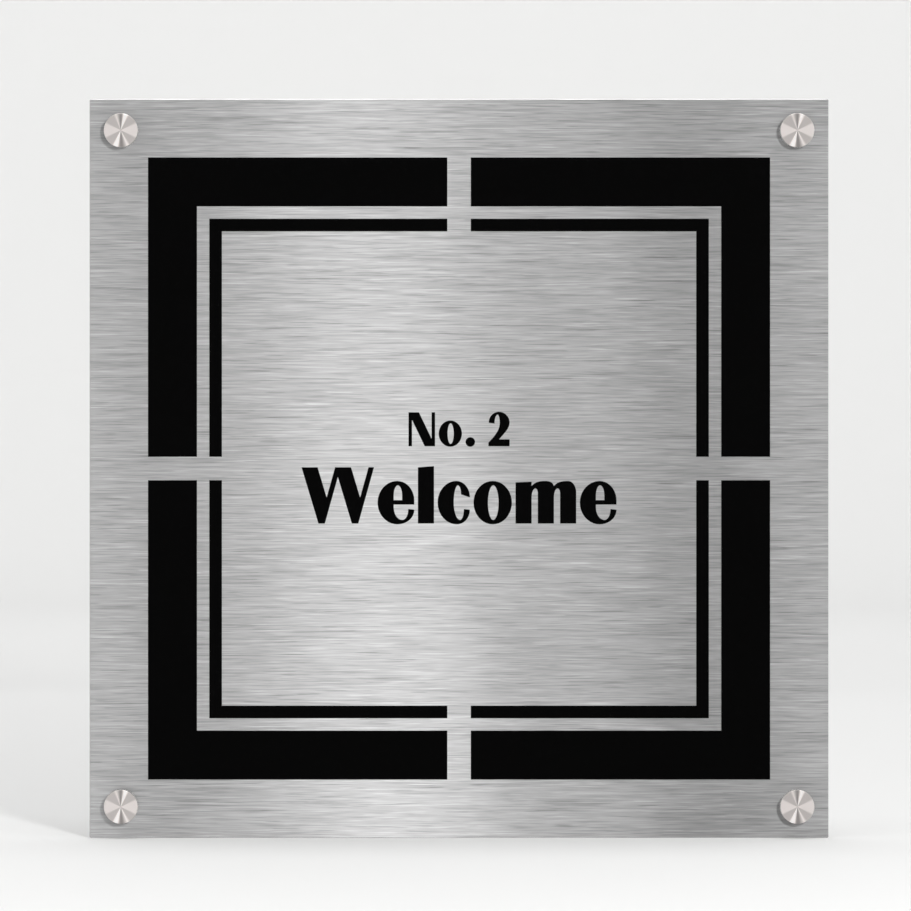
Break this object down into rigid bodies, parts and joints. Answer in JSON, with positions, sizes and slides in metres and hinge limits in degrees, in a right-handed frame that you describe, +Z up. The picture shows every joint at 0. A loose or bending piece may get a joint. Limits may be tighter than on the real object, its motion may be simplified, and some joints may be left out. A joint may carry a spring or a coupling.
{
  "type": "door name plate",
  "caption": "Square engraved steel door name plate with a black enamel border and lettering, held off the wall by screw-capped stand-offs.",
  "frame": {"origin": "the middle of the sheet, on the wall's face, where the four stand-offs' feet rest", "axes": "+Z up the wall, +X to the right seen from the front, +Y into the wall: the lettering faces -Y"},
  "size_m": [0.305, 0.0487, 0.305],
  "materials": {
    "brushed_steel": "horizontal satin grain",
    "turned_steel": "turned, with fine rings on the face",
    "black_enamel": "hard black paint filling, semi-gloss",
    "clear_plastic": "soft translucent washer",
    "zinc_plate": "zinc plated"
  },
  "bodies": {
    "plate": {"face_plate": "brushed_steel", "border_band_top_left": "black_enamel", "border_band_top_right": "black_enamel", "border_band_bottom_left": "black_enamel", "border_band_bottom_right": "black_enamel", "border_line_top_left": "black_enamel", "border_line_top_right": "black_enamel", "border_line_bottom_left": "black_enamel", "border_line_bottom_right": "black_enamel", "number_1_N": "black_enamel", "number_2_o": "black_enamel", "number_3_stop": "black_enamel", "number_4_two": "black_enamel", "word_1_W": "black_enamel", "word_2_e": "black_enamel", "word_3_l": "black_enamel", "word_4_c": "black_enamel", "word_5_o": "black_enamel", "word_6_m": "black_enamel", "word_7_e": "black_enamel", "rear_washer_top_left": "clear_plastic", "barrel_top_left": "turned_steel", "wood_screw_top_left": "zinc_plate", "rear_washer_top_right": "clear_plastic", "barrel_top_right": "turned_steel", "wood_screw_top_right": "zinc_plate", "rear_washer_bottom_left": "clear_plastic", "barrel_bottom_left": "turned_steel", "wood_screw_bottom_left": "zinc_plate", "rear_washer_bottom_right": "clear_plastic", "barrel_bottom_right": "turned_steel", "wood_screw_bottom_right": "zinc_plate"},
    "washer_top_left": {"front_washer_top_left": "clear_plastic"},
    "cap_top_left": {"cap_screw_top_left": "turned_steel"},
    "washer_top_right": {"front_washer_top_right": "clear_plastic"},
    "cap_top_right": {"cap_screw_top_right": "turned_steel"},
    "washer_bottom_left": {"front_washer_bottom_left": "clear_plastic"},
    "cap_bottom_left": {"cap_screw_bottom_left": "turned_steel"},
    "washer_bottom_right": {"front_washer_bottom_right": "clear_plastic"},
    "cap_bottom_right": {"cap_screw_bottom_right": "turned_steel"}
  },
  "joints": [
    {"name": "cap_travel_top_left", "type": "slide", "parent": "plate", "child": "washer_top_left", "axis": [0, -1, 0], "range_m": [0, 0.007]},
    {"name": "cap_turn_top_left", "type": "hinge", "parent": "washer_top_left", "child": "cap_top_left", "pos_m": [-0.1393, -0.0172, 0.1393], "axis": [0, -1, 0], "range_deg": [0, 2016]},
    {"name": "cap_travel_top_right", "type": "slide", "parent": "plate", "child": "washer_top_right", "axis": [0, -1, 0], "range_m": [0, 0.007]},
    {"name": "cap_turn_top_right", "type": "hinge", "parent": "washer_top_right", "child": "cap_top_right", "pos_m": [0.1393, -0.0172, 0.1393], "axis": [0, -1, 0], "range_deg": [0, 2016]},
    {"name": "cap_travel_bottom_left", "type": "slide", "parent": "plate", "child": "washer_bottom_left", "axis": [0, -1, 0], "range_m": [0, 0.007]},
    {"name": "cap_turn_bottom_left", "type": "hinge", "parent": "washer_bottom_left", "child": "cap_bottom_left", "pos_m": [-0.1393, -0.0172, -0.1393], "axis": [0, -1, 0], "range_deg": [0, 2016]},
    {"name": "cap_travel_bottom_right", "type": "slide", "parent": "plate", "child": "washer_bottom_right", "axis": [0, -1, 0], "range_m": [0, 0.007]},
    {"name": "cap_turn_bottom_right", "type": "hinge", "parent": "washer_bottom_right", "child": "cap_bottom_right", "pos_m": [0.1393, -0.0172, -0.1393], "axis": [0, -1, 0], "range_deg": [0, 2016]}
  ],
  "couplings": [
    {"joint": "cap_travel_top_left", "follows": "cap_turn_top_left", "m_per_rad": 0.00019894},
    {"joint": "cap_travel_top_right", "follows": "cap_turn_top_right", "m_per_rad": 0.00019894},
    {"joint": "cap_travel_bottom_left", "follows": "cap_turn_bottom_left", "m_per_rad": 0.00019894},
    {"joint": "cap_travel_bottom_right", "follows": "cap_turn_bottom_right", "m_per_rad": 0.00019894}
  ]
}
